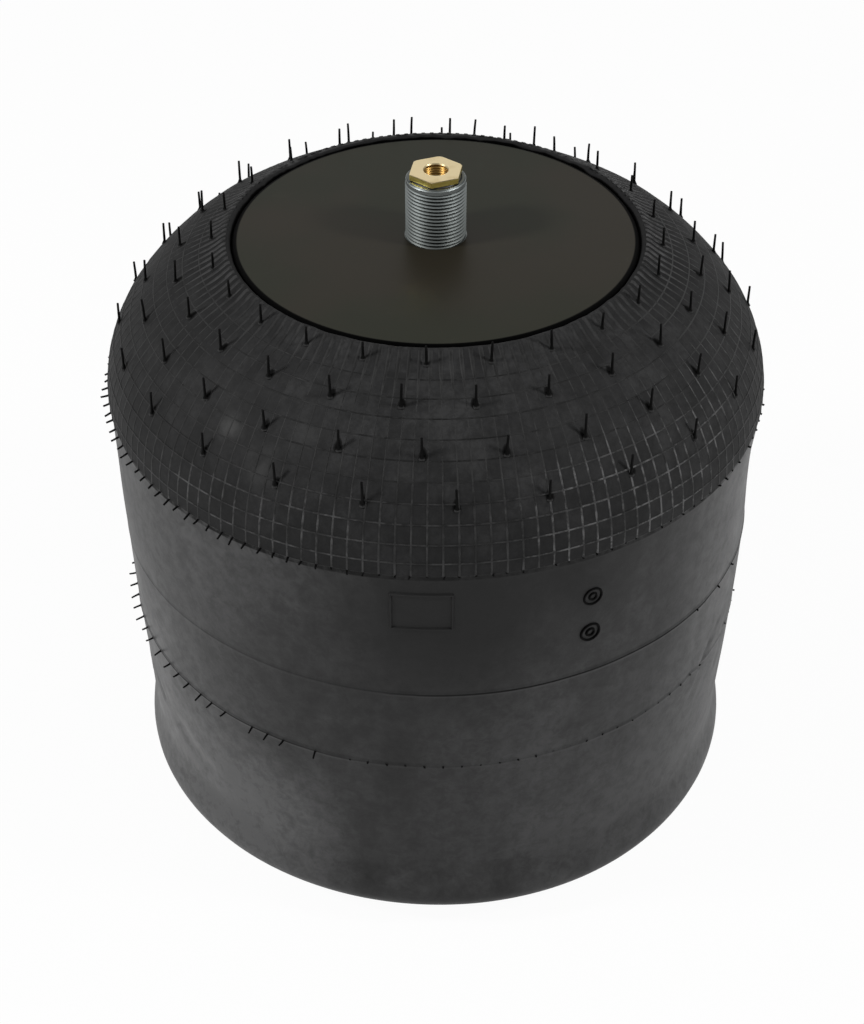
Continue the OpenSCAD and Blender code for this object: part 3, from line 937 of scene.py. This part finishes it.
def grid_rubber(place):
    """The ridges' tops: pale as a painted highlight where they catch the
    light, low on the shoulder, most on its right, and near the rim at its
    sides and back, broken up by noise. Dull black elsewhere."""
    black, dull, pale = 0.008, 0.024, (0.12, 0.12, 0.121)
    side, depth, height = place.axes()
    # From the left to the right: how much painted highlight the low ridges
    # take.
    by_side = (
        (0.07, 0.05), (0.17, 0.42), (0.36, 0.36), (0.43, 0.12),
        (0.6, 0.14), (0.67, 1.0), (0.84, 0.9), (0.95, 0.1),
    )
    stops = [(at, (rub,) * 3) for at, rub in by_side]
    low = side.add("ShaderNodeValToRGB", {"stops": stops}, {0: side * 3.6 + 0.5})
    low = between(height - side * 0.12, 0.221, 0.236, 1.0, 0.06) * low
    rim = between(height, 0.243, 0.252) * between(depth, -0.055, -0.01)
    rim = rim * between(side, -0.06, 0.01, 0.45, 1.0)
    highlight_breakup = between(clouds(place, 110, 6, 0.75), 0.42, 0.58, 0.1, 1.0)
    fine = clouds(place, 300, 4)
    # Painted highlight on the ridges' tops, broken up by noise.
    rubbed_and_highlit = (low * highlight_breakup + rim * 0.27) * between(fine, 0.36, 0.64, 0.35, 1.5)
    plain = tint(between(clouds(place, 75, 6, 0.75), 0.4, 0.6), black, dull)
    return {
        "Base Color": tint(rubbed_and_highlit, plain, pale),
        "Roughness": 0.5 + fine * 0.2,
        "Normal": grain(fine, 0.0001, 0.5),
        "Specular IOR Level": 0.25,
    }


def hairline_rings(place):
    """The rings: high up, black hairlines in front and pale ones at the sides
    and back, the pale a painted highlight; low down, the ribs' painted
    highlight."""
    black, dull, pale = 0.003, 0.017, 0.036
    finish = grid_rubber(place)
    side, depth, height = place.axes()
    # Painted highlight: high up, the rings are pale at the sides and back.
    highlit_sides_and_back = between(depth, -0.07, -0.04) * between(side, -0.06, 0.06, 0.3, 1.0)
    broken = tint(between(clouds(place, 130, 5, 0.7), 0.42, 0.6), black, dull)
    high = tint(highlit_sides_and_back, broken, pale)
    finish["Base Color"] = tint(between(height, 0.225, 0.236), finish["Base Color"], high)
    return finish


rib_rubber = surface("rib_rubber", grid_rubber)
ring_rubber = surface("ring_rubber", hairline_rings)

# A rib's section on its way down: half its width, how much of that is flat,
# and its rise. Widest at the rim, finest half way and fuller at the edge.
rib_spots, rib_foot = [], -0.15
ends = [slope[0], *slope, slope[-1]]
for (r, z), before, after in zip(slope, ends, ends[2:]):
    nr, nz = outward(before, after)
    share = (r - slope[0][0]) / (shoulder_r - slope[0][0])
    spread = 1 - ease(share / 0.4)
    half = 1.0 - 0.6 * spread + 0.16 * (1 - ease((share - 0.6) / 0.3))
    flat = 0.65 - 0.25 * spread
    rise = 0.22 + 0.04 * ease(share / 0.06) - 0.16 * spread
    rise += 0.16 * (1 - ease((share - 0.55) / 0.3))
    r, z = lifted(r, z)
    for side, up in ((-1, rib_foot), (-flat, rise), (flat, rise), (1, rib_foot)):
        rib_spots.append((r + nr * up, side * half, z + nz * up))
rib_faces = [
    (a, a + 4, a + 5, a + 1) for i in range(len(slope) - 1) for a in range(i * 4, i * 4 + 3)
]


def copies_tree():
    """Copies a mesh about +Z: Copies, First Angle, Material."""
    given = tree_with(
        "copies_round", {"Copies": "Int", "First Angle": "Float", "Material": "Material"}
    )
    copies = given.out("Copies")
    centre = given.add("GeometryNodeMeshLine", inputs={"Count": copies, "Offset": (0, 0, 0)})
    turn = given.add("GeometryNodeInputIndex") * (2 * math.pi) / copies + given.out("First Angle")
    ring = given.add(
        "GeometryNodeInstanceOnPoints",
        inputs={"Points": centre, "Instance": given, "Rotation": given.vector(z=turn)},
    )
    return close_tree(ring, given.out("Material"))


ribs = grown(
    "shoulder_ribs", mesh_in_mm("shoulder_rib", rib_spots, rib_faces), copies_tree(),
    ridge_bend, copies=rib_count, first_angle=math.radians(rib_first_az - 90),
    material=rib_rubber,
)
fit(ribs, rib_rubber, "plate", "bellows_rubber")

ring_sides, ring_foot = (0.4, 0.2, -0.2, -0.4), -0.12
ring_outlines = []
distance = ring_first
while distance < ring_last:
    r, z, (nr, nz) = on_slope(distance)
    rise = 0.1 + 0.14 * ease((z - 222) / 16)
    ups = (ring_foot, rise, rise, ring_foot)
    ring_outlines.append(
        [(r + nz * side + nr * up, z - nr * side + nz * up) for side, up in zip(ring_sides, ups)]
    )
    distance += ring_gap
rings = turned("shoulder_rings", ring_outlines, ring_turns, closed=False, bend=ridge_bend)
fit(rings, ring_rubber, "plate", "bellows_rubber")


# ---- Vent hairs
# Rubber that ran into the mould's air vents and was pulled out with it:
# four rings of long hairs on the shoulder, short ones along the lines.
def hair_tree():
    """A hair at each point, along its aim and as long as its size:
    Thickness, Root, Bend, Seed, Material."""
    sizes = dict.fromkeys(("Thickness", "Root", "Bend"), "Float")
    given = tree_with("vent_hairs", {**sizes, "Seed": "Int", "Material": "Material"})
    thickness, root, bend = (given.out(size) for size in sizes)

    def kept(label, kind="FLOAT"):
        """A number or vector kept with the points."""
        return given.add("GeometryNodeInputNamedAttribute", {"data_type": kind}, {"Name": label})

    def keeping(geometry, label, value, kind="FLOAT"):
        """The geometry with a number or vector kept with its points."""
        return geometry.add(
            "GeometryNodeStoreNamedAttribute",
            {"data_type": kind, "domain": "POINT"},
            {"Geometry": geometry, "Name": label, "Value": value},
        )

    rod = given.add(
        "GeometryNodeMeshCylinder",
        inputs={
            "Vertices": 8, "Side Segments": 5, "Fill Segments": 1, "Radius": 0.5, "Depth": 1.0,
        },
    )
    spot = given.add("GeometryNodeInputPosition")
    x, y, z = spot.axes()
    along = (z + 0.5) ** 2
    foot = (1 - along * 9).math("MAXIMUM", 0)
    width = thickness * (1 - along * 0.2) + (root - thickness) * foot
    rod = keeping(rod, "along", along)
    rod = rod.add(
        "GeometryNodeSetPosition",
        inputs={"Geometry": rod, "Position": spot.vector(x * width, y * width, along)},
    )
    sway = given.add(
        "FunctionNodeRandomValue",
        {"data_type": "FLOAT_VECTOR"},
        {0: (-1, -1, -0.3), 1: (1, 1, 0.3), "Seed": given.out("Seed")},
    )
    aimed = given.add(
        "FunctionNodeAlignRotationToVector",
        {"axis": "Z"},
        {"Vector": kept("aim", "FLOAT_VECTOR")},
    )
    hairs = given.add(
        "GeometryNodeInstanceOnPoints",
        inputs={
            "Points": keeping(given, "sway", sway, "FLOAT_VECTOR"), "Instance": rod,
            "Rotation": aimed, "Scale": given.vector(1.0, 1.0, kept("size")),
        },
    )
    whole = hairs.add("GeometryNodeRealizeInstances", inputs={0: hairs})
    reach = kept("along")
    swayed = whole.add(
        "GeometryNodeSetPosition",
        inputs={
            "Geometry": whole,
            "Offset": given.add(
                "ShaderNodeVectorMath",
                {"operation": "SCALE"},
                {0: kept("sway", "FLOAT_VECTOR"), "Scale": reach * reach * bend},
            ),
        },
    )
    return close_tree(swayed, given.out("Material"))


def vent_rubber(place):
    """Thin vent rubber, jet black, on a small pad at the root that is painted
    pale as a highlight, as the ridges' tops are.
    """
    along = place.add("ShaderNodeAttribute", {"attribute_name": "along"}, out="Fac")
    black = tint(clouds(place, 200, 2), 0.0012, 0.003)
    # The pale pad at the root is a painted highlight.
    return {
        "Base Color": tint(between(along, 0.02, 0.09), 0.04, black),
        "Roughness": 0.5 + clouds(place, 500, 2) * 0.2,
        "Specular IOR Level": 0.08,
    }


def plug_and_shadow_black(place):
    """Black rubber: the painted shadows of the vent hairs, soft at their edge,
    and the wall's two round plugs.
    """
    edge = place.add("ShaderNodeAttribute", {"attribute_name": "edge"}, out="Fac")
    return {
        "Base Color": tint(edge, 0.002, 0.018),
        "Roughness": 0.55 + clouds(place, 500, 2) * 0.2,
        "Specular IOR Level": 0.06,
    }


def wobble(a, b=0.0):
    """Repeatable unevenness from -1 to 1."""
    return noise.noise(Vector((a * 1.37 + 0.3, b * 2.11 + 0.7, 4.2))) * 1.6


vent_hairs = hair_tree()
hair_rubber = surface("hair_rubber", vent_rubber)
plug_rubber = surface("plug_rubber", plug_and_shadow_black)


def grow_hairs(name, hairs, thickness, root, bend, seed):
    """Grows hairs, each from its foot, aim and length, with sizes in mm."""
    feet, aims, lengths = zip(*hairs)
    tuft = grown(
        name, places(name + "_feet", feet, aim=aims, size=[size * mm for size in lengths]),
        vent_hairs, thickness=thickness * mm, root=root * mm, bend=bend * mm, seed=seed,
        material=hair_rubber,
    )
    fit(tuft, hair_rubber, "plate", "bellows_rubber")


# Each row's first azimuth, its distance down the slope and its hairs' length.
hair_rows = ((13.1, 10.1, 7.9), (8.4, 27.3, 9.5), (12.8, 45.2, 9.6), (2.8, 63.7, 9.4))
hairs_in_row = 24
# How far each row wanders from an even spacing and from its distance down
# the slope: degrees and mm, in sines and cosines of once and twice round.
hair_drift = (
    ((-0.42, -0.35, 0.82, 0.79, -0.76), (0, 0.48, -0.6, -0.15, -0.41)),
    ((-0.39, -0.51, 1.13, 0.08, -1.19), (0, 1.15, -0.59, -0.6, -0.35)),
    ((0.3, -0.5, -0.6, 0, 0), (0, 0.3, -0.2, 0, 0)),
    ((0.5, 0.8, 0, 0, 0), (0, 0.3, -0.4, 0, 0)),
)


def drifted(parts, az):
    """How far a row has wandered at an azimuth."""
    a = math.radians(az)
    waves = (1, math.sin(a), math.cos(a), math.sin(2 * a), math.cos(2 * a))
    return sum(p * w for p, w in zip(parts, waves))


# Painted shadow: up the slope from each long hair lies a low black drop that stands for the
# hair's shadow.
# A mark's rings: how far out, how high, and how near its soft edge.
mark_rings = ((0.0, 0.1, 0.0), (0.5, 0.1, 0.0), (1.0, -0.02, 1.0))
mark_turns, mark_above, mark_width = 12, 1.7, 1.75
mark_spots, mark_faces, mark_edges = [], [], []


def hair_shadow_mark(down, az, half):
    """A low drop, dark in its middle, up the slope from a long hair: a painted
    shadow of the hair.
    """
    first = len(mark_spots)
    for share, up, edge in mark_rings:
        for k in range(mark_turns if share else 1):
            a = 2 * math.pi * k / mark_turns
            r, z, n = on_slope(down - mark_above - half * share * math.cos(a))
            across = mark_width * share * math.sin(a) * (1 - 0.4 * math.cos(a))
            turn = az + math.degrees(across / r)
            mark_spots.append(at_azimuth(r + n[0] * up, turn, z + n[1] * up))
            mark_edges.append(edge)
    for k in range(mark_turns):
        a, b = first + 1 + k, first + 1 + (k + 1) % mark_turns
        mark_faces.extend([(first, b, a), (a, b, b + mark_turns, a + mark_turns)])


long_hairs = []
for row, (first_az, distance, length) in enumerate(hair_rows):
    for k in range(hairs_in_row):
        even_az = first_az + 360 / hairs_in_row * k
        az = even_az + drifted(hair_drift[row][0], even_az)
        down = distance + drifted(hair_drift[row][1], even_az)
        r, z, n = on_slope(down)
        foot = at_azimuth(r - n[0] * 0.2, az, z - n[1] * 0.2)
        aim = (0.04 * wobble(k, row), 0.04 * wobble(row, k + 9), 1.0)
        long_hairs.append((foot, aim, length + 1.3 * wobble(k * 1.9, row * 5)))
        hair_shadow_mark(down, az + 0.4 * wobble(k, row + 3), 2.7 + 0.5 * wobble(k + 5, row))
grow_hairs("vent_hairs_long", long_hairs, thickness=1.12, root=2.6, bend=0.3, seed=3)
mark_mesh = mesh_in_mm("vent_plugs", mark_spots, mark_faces)
keep(mark_mesh, "edge", mark_edges)
fit(shown("vent_plugs", mark_mesh, ridge_bend), plug_rubber, "plate", "bellows_rubber")


def nub(r, az, z, down, size):
    """A short hair that points out and a little down."""
    x, y, _ = at_azimuth(1.0, az, 0)
    return at_azimuth(r, az, z), (x, y, -down), size


# Along the shoulder's edge, one at each rib, longer on the left.
edge_hairs = []
for k in range(rib_count):
    az = (rib_first_az + 360 / rib_count * k + 180) % 360 - 180
    left = min(1.0, max(0.0, (-az - 2 if az > -150 else az + 180) / 30))
    edge_hairs.append(nub(
        shoulder_r - 0.6, az + 0.3 * wobble(k), shoulder_edge_z + 0.2,
        0.45 + 0.25 * wobble(k * 1.3), 1.1 + 2.3 * left + 0.6 * wobble(k * 0.7),
    ))
grow_hairs("vent_hairs_edge", edge_hairs, thickness=0.95, root=1.5, bend=0.5, seed=5)

# Long flash shows one by one where the low line is in view, then goes on
# round the back at the same spacing. It is short on the right, and the
# middle line has a few.
flash_gap = 3.25
low_line_azimuths = [-65, -61, -57, -53.75, -50.5, -46.75, -43.75, -40.25, -34, -30.75, -27.5]
low_line_azimuths += [-21.25] + [-68.2 - flash_gap * k for k in range(33)]
mid_line_azimuths = (51.5, 59.0, 65.7, 96.0, 141.0, -118.0, 168.0)
low_r, mid_r = leg_r(low_line_z), leg_r(mid_line_z)
line_hairs = [
    nub(low_r + 0.2, az, low_line_z, 0.35 + 0.15 * wobble(k, 5), 3.3 + 0.5 * wobble(k * 0.9, 3))
    for k, az in enumerate(low_line_azimuths)
]
line_hairs += [
    nub(low_r + 0.1, -15 + flash_gap * k, low_line_z, 0.35, 0.45 + 0.15 * wobble(k, 7))
    for k in range(60)
]
line_hairs += [nub(mid_r + 0.2, az, mid_line_z, 0.2, 1.3) for az in mid_line_azimuths]
grow_hairs("vent_hairs_lines", line_hairs, thickness=0.9, root=1.4, bend=0.5, seed=8)


# ---- Mould marks
# Raised by the mould on the plain wall: an empty panel's border, and two
# round plugs one above the other.
def relief(name, paths, half, rise, foot=-0.1):
    """Low ridges on the wall along closed paths of (mm round, height)."""
    spots, faces = [], []
    for path in paths:
        first, count = len(spots), len(path)
        for i, (u, v) in enumerate(path):
            back, ahead = path[i - 1], path[(i + 1) % count]
            run = (ahead[0] - back[0], ahead[1] - back[1])
            size = math.hypot(*run)
            side = (run[1] / size, -run[0] / size)
            for out, up in ((-1.0, foot), (-0.45, rise), (0.45, rise), (1.0, foot)):
                uu, vv = u + side[0] * out * half, v + side[1] * out * half
                spots.append(at_azimuth(leg_r(vv) + up, math.degrees(uu / wall_r), vv))
        for i in range(count):
            a, b = first + i * 4, first + (i + 1) % count * 4
            faces += [(a + j, a + j + 1, b + j + 1, b + j) for j in range(3)]
    mesh = mesh_in_mm(name, spots, faces)
    remember_places(mesh)
    return shown(name, mesh, ridge_bend)


def panel(az_a, az_b, low, high, gap=1.5):
    """A rectangle on the wall, cut into short steps."""
    left, right = (math.radians(az) * wall_r for az in (az_a, az_b))
    corners = [(left, low), (right, low), (right, high), (left, high)]
    path = []
    for a, b in zip(corners, corners[1:] + corners[:1]):
        parts = max(1, round(math.dist(a, b) / gap))
        path += [tuple(p + (q - p) * i / parts for p, q in zip(a, b)) for i in range(parts)]
    return path


def disc(az, z, r):
    """A circle on the wall."""
    return arc((math.radians(az) * wall_r, z), r, 0, 354, 28)


border = relief("mould_panel_border", [panel(-7.2, 2.6, 171.5, 188.0)], half=0.7, rise=0.6)
fit(border, bellows_rubber, "plate", "bellows_rubber")
plug_az, plug_discs = 26, ((176, 3.7), (176, 1.5), (158, 3.9), (158, 1.6))
plug_paths = [disc(plug_az, z, r) for z, r in plug_discs]
plugs = relief("mould_plugs", plug_paths, half=0.55, rise=0.5)
fit(plugs, plug_rubber, "plate", "bellows_rubber")


# ---- Bead plate
# Steel disc painted dark olive. Its edge is rolled down and in round the
# bellows' upper bead, which holds a ring of wire.
stud_r, rim_edge, plate_bend = 12.0, 2.2, 35
stud_hole_r = stud_r + 0.35
rim_top = (rim_r - rim_edge, plate_z - rim_edge)
plate_outline = tidy_outline(
    [(stud_hole_r, plate_z)]
    + arc(rim_top, rim_edge, 90, 0, 8)
    + arc(rim_low, rim_round, 0, -90, 10)
    + arc(lip_end, plate_t / 2, -90, -270, 8)
    + arc(rim_low, rim_round - plate_t, -90, 0, 4)
    + [(rim_r - plate_t, plate_under_z), (stud_hole_r, plate_under_z)]
)


def olive_paint(place):
    """Thin satin paint on rolled sheet: faint orange peel and dust. The rolled
    rim's edge is painted shadow: black, dull, and metallic so that it shows
    no gloss."""
    olive, pale_olive = (0.0155, 0.0165, 0.0103), (0.0248, 0.0262, 0.017)
    brown, dusty, black = (0.027, 0.0225, 0.016), (0.07, 0.069, 0.056), 0.002
    cloudy = clouds(place, 14, 5)
    dust = between(clouds(place, 90, 7, 0.7), 0.58, 0.85)
    # Painted shadow: the rim's rounded edge is black, for the shade of the gap beside the rubber.
    rim = between(from_axis(place), (rim_top[0] - 0.3) * mm, (rim_top[0] + 0.4) * mm)
    paint = tint(cloudy, olive, pale_olive)
    paint = tint(between(clouds(place, 9, 3), 0.42, 0.6) * 0.8, paint, brown)
    paint = tint(dust * 0.3, paint, dusty)
    return {
        "Base Color": tint(rim, paint, black),
        "Roughness": 0.34 + cloudy * 0.1 + dust * 0.1 + rim * 0.3,
        "Metallic": rim,
        "Normal": grain(clouds(place, 520, 3), 0.00005, 0.4),
        "Specular IOR Level": 0.12,
    }


plate_paint = surface("plate_paint", olive_paint)
plate = turned("bead_plate_pressing", [plate_outline[::-1]], bellows_turns, bend=plate_bend)
fit(plate, plate_paint, "plate", "plate_paint", "bead_plate")
dressed("upper_wire", "upper_bead_core", bare_steel, "plate", "bare_steel")


# ---- Stud
# Mounting stud and air inlet in one, turned from bar, threaded M24 x 1.5,
# zinc plated and welded to the plate from below.
stud_h, stud_pitch, stud_core_r, air_way_r, stud_turns = 25.5, 1.5, 11.05, 5.0, 128
stud_top_z = plate_z + stud_h
groove_depth, seal_round, shank_r = 1.5, 1.0, 8.0
groove_z, groove_r = stud_top_z - groove_depth, shank_r + 2 * seal_round + 0.15
bush_flange_z = stud_top_z - groove_depth + 2 * seal_round
flange_r, flange_t, flange_edge = 17.0, 4.0, 0.8
flange_z = plate_under_z - flange_t
collar_r = stud_r - 0.25
stud_outline = [
    (air_way_r, flange_z), (flange_r - flange_edge, flange_z),
    (flange_r, flange_z + flange_edge), (flange_r, plate_under_z),
    (stud_r + 0.3, plate_under_z), (stud_r + 0.3, plate_z + 0.02), (stud_core_r, plate_z + 0.02),
    (stud_core_r, stud_top_z - 2.6), (collar_r, stud_top_z - 2.2),
    (collar_r, stud_top_z - 0.7), (stud_r - 0.9, stud_top_z),
    (groove_r, stud_top_z), (groove_r, groove_z), (shank_r + seat, groove_z),
    (shank_r + seat, bush_flange_z - 15.5), (air_way_r, bush_flange_z - 18.5),
]


def thread_zinc(place):
    """Zinc, light on the thread's crests, with painted shade: black in the
    thread's roots and in the groove under the bush, darker at the stud's
    foot."""
    bright, stained, foot_shade = (0.37, 0.4, 0.395), (0.26, 0.285, 0.28), (0.13, 0.14, 0.13)
    root_shade, groove_shade = (0.055, 0.06, 0.057), 0.01
    reach, height = from_axis(place), place.axes()[2]
    crest = between(reach, (stud_core_r + 0.25) * mm, (stud_core_r + 0.6) * mm)
    end = between(height, (stud_top_z - 0.3) * mm, (stud_top_z - 0.1) * mm)
    stain = clouds(place, 240, 4)
    metal = tint(stain, bright, stained)
    # Painted shade: darker at the stud's foot, and black in the groove under the bush.
    metal = tint(between(height, 0.262, 0.28, 0.45, 0.0), metal, foot_shade)
    metal = tint(
        between(reach, (groove_r - 0.05) * mm, (groove_r + 0.25) * mm), groove_shade, metal
    )
    # Painted shade: black in the thread's roots between the crests.
    return {
        "Base Color": tint(crest.math("MAXIMUM", end * 0.4), root_shade, metal),
        "Roughness": 0.38 + stain * 0.16,
        "Metallic": 1.0,
    }


stud_zinc = surface("thread_zinc", thread_zinc)
stud = turned("inlet_stud", [stud_outline], stud_turns, bend=thread_bend)
fit(stud, stud_zinc, "plate", "zinc_steel", "combo_stud")
threads = cut_thread(
    "inlet_stud_thread", [(0, 0, plate_z - 0.4)], stud_zinc, turns=15.7, pitch=stud_pitch,
    radius=stud_core_r, depth=stud_r - stud_core_r,
)
fit(threads, stud_zinc, "plate", "zinc_steel")
dressed("stud_weld_bead", "stud_weld", bare_steel, "plate", "bare_steel")


# ---- Inlet bush
# Brass hexagon bush in the stud's mouth, tapped M10 x 1 for the air line,
# over a rubber O-ring.
bush_top_z, bush_bore_r, bush_pitch, bush_depth = bush_flange_z + 2.4, 4.5, 1.0, 0.5
bush_root_r, hexagon_bend = bush_bore_r + bush_depth, 12


def cut_brass(place):
    """Fine-turned brass, warmer where it has browned, and darker in its tapped
    hole as painted shade.
    """
    face, browned_face = (0.86, 0.71, 0.42), (0.68, 0.52, 0.25)
    flat, browned_flat, bore_shade = (0.74, 0.60, 0.16), (0.5, 0.36, 0.09), (0.4, 0.24, 0.07)
    lines = clouds(place, 900, 3, stretch=(1, 1, 4))
    brown = between(clouds(place, 130, 4), 0.5, 0.75)
    faced = between(place.axes()[2], (bush_top_z - 0.5) * mm, (bush_top_z - 0.2) * mm)
    bored = between(from_axis(place), (bush_root_r + 0.1) * mm, (bush_root_r + 0.3) * mm)
    # Painted shade: the bore is darker than the flats.
    side = tint(bored, bore_shade, tint(brown, flat, browned_flat))
    return {
        "Base Color": tint(faced, side, tint(brown * 0.5, face, browned_face)),
        "Roughness": 0.24 + lines * 0.12 + brown * 0.1,
        "Normal": grain(lines, 0.00003, 0.5),
        "Metallic": 1.0,
    }


def o_ring_rubber(place):
    """Moulded nitrile."""
    return {
        "Base Color": tint(clouds(place, 300, 2), 0.01, 0.02),
        "Roughness": 0.4 + clouds(place, 500, 2) * 0.1,
    }


brass = surface("cut_brass", cut_brass)
bush = smoothed("inlet_bush", "port_bush", hexagon_bend)
# The solid's bore is the thread's crests: below the mouth it is widened to
# the roots, and the thread grown in it.
thread_top_z, same = (bush_flange_z + 1.4) * mm, 1e-5
tapped = bmesh.new()
tapped.from_mesh(bush.data)
bmesh.ops.bisect_plane(
    tapped, geom=tapped.verts[:] + tapped.edges[:] + tapped.faces[:],
    plane_co=(0, 0, thread_top_z), plane_no=(0, 0, 1),
)
for vertex in tapped.verts:
    reach = math.hypot(vertex.co.x, vertex.co.y)
    if abs(reach - bush_bore_r * mm) < same and vertex.co.z < thread_top_z + same:
        vertex.co.x *= bush_root_r * mm / reach
        vertex.co.y *= bush_root_r * mm / reach
tapped.to_mesh(bush.data)
tapped.free()
bush.data.set_sharp_from_angle(angle=math.radians(hexagon_bend))
fit(bush, brass, "plate", "brass", "port_bush")
threads = cut_thread(
    "inlet_bush_thread", [(0, 0, bush_flange_z - 13.2)], brass, turns=14.6, pitch=bush_pitch,
    radius=bush_root_r, depth=bush_depth,
)
fit(threads, brass, "plate", "brass")
nitrile = surface("nitrile", o_ring_rubber)
dressed("bush_o_ring", "port_seal", nitrile, "plate", "seal_rubber", bend=80)
